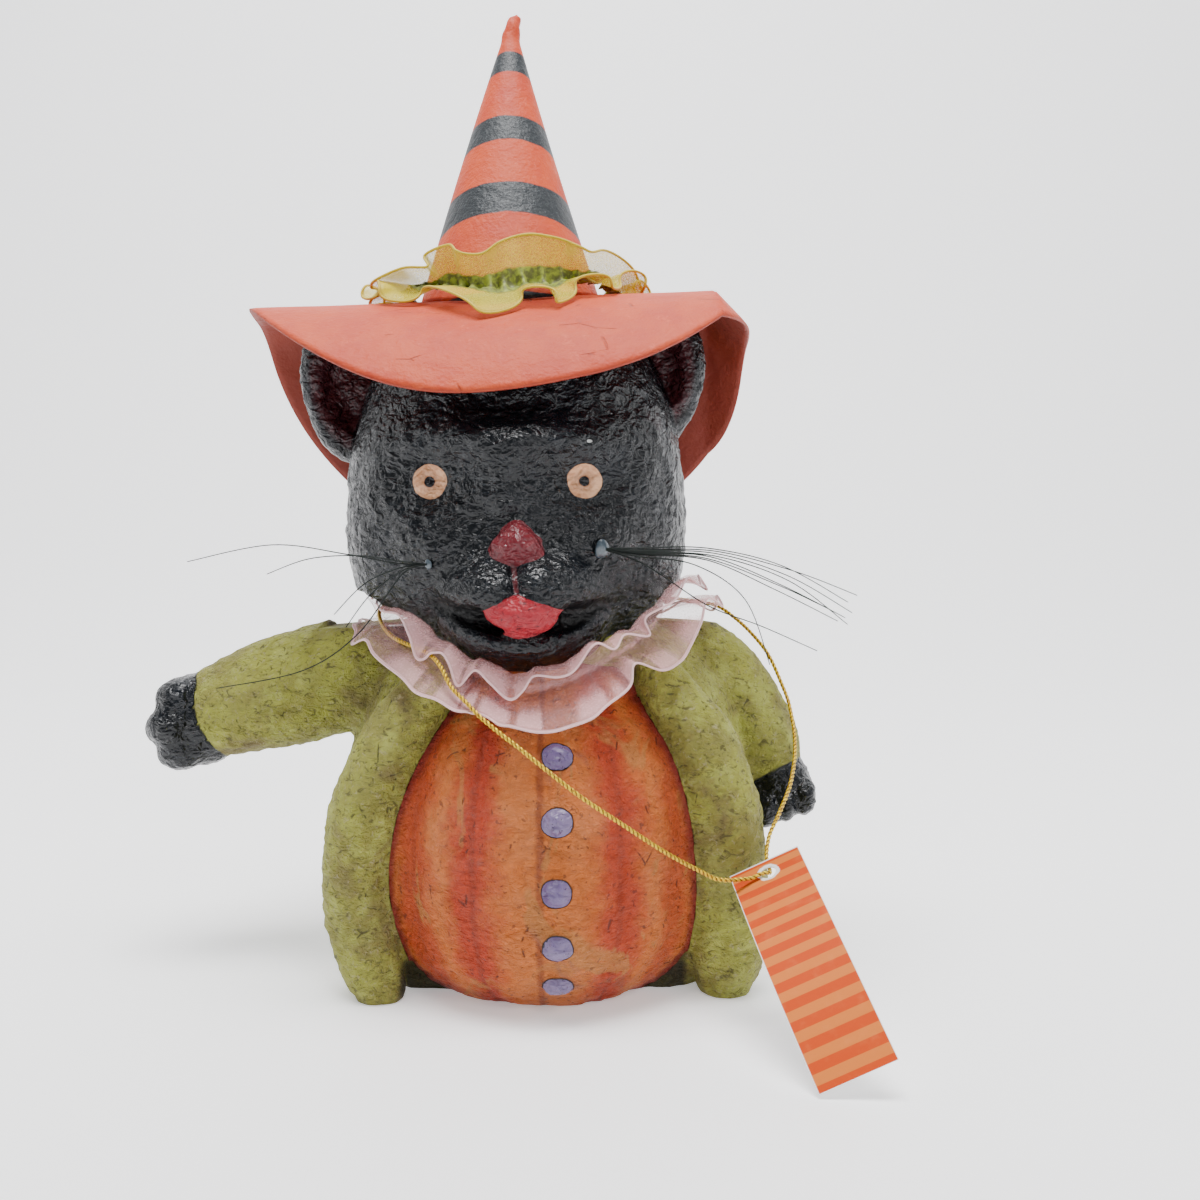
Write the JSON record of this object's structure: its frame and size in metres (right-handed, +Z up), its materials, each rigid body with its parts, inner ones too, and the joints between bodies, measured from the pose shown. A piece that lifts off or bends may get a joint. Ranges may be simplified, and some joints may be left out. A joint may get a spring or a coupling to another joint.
{
  "type": "papier-mache cat ornament",
  "caption": "Papier-mache cat with a pumpkin belly, open coat, pointed paper hat, organza ruffles, bristle whiskers and a corded tag.",
  "frame": {"origin": "middle of the flat underside, on the floor", "axes": "+Z up, -Y the way the cat looks, +X to the right as seen from the front"},
  "size_m": [0.25, 0.2024, 0.3576],
  "materials": {
    "painted_papier_mache": "brush-painted papier-mache: black, green, orange and purple with a rough fibrous skin",
    "painted_card": "orange painted card with black stripes on the cone",
    "yellow_organza": "sheer woven ribbon with a wired edge",
    "pink_organza": "sheer woven ribbon with a stitched edge",
    "bristle": "fine dark bristle in a drop of glue",
    "gold_cord": "braided metallic thread",
    "tag_card": "printed card with plain stripes in two oranges"
  },
  "bodies": {
    "root": {"cat_figure": "painted_papier_mache", "hat_cone": "painted_card", "hat_brim": "painted_card", "hat_ruffle": "yellow_organza", "collar_ruffle": "pink_organza", "whiskers_left": "bristle", "whiskers_right": "bristle", "gold_cord": "gold_cord", "hang_tag": "tag_card"}
  },
  "joints": []
}
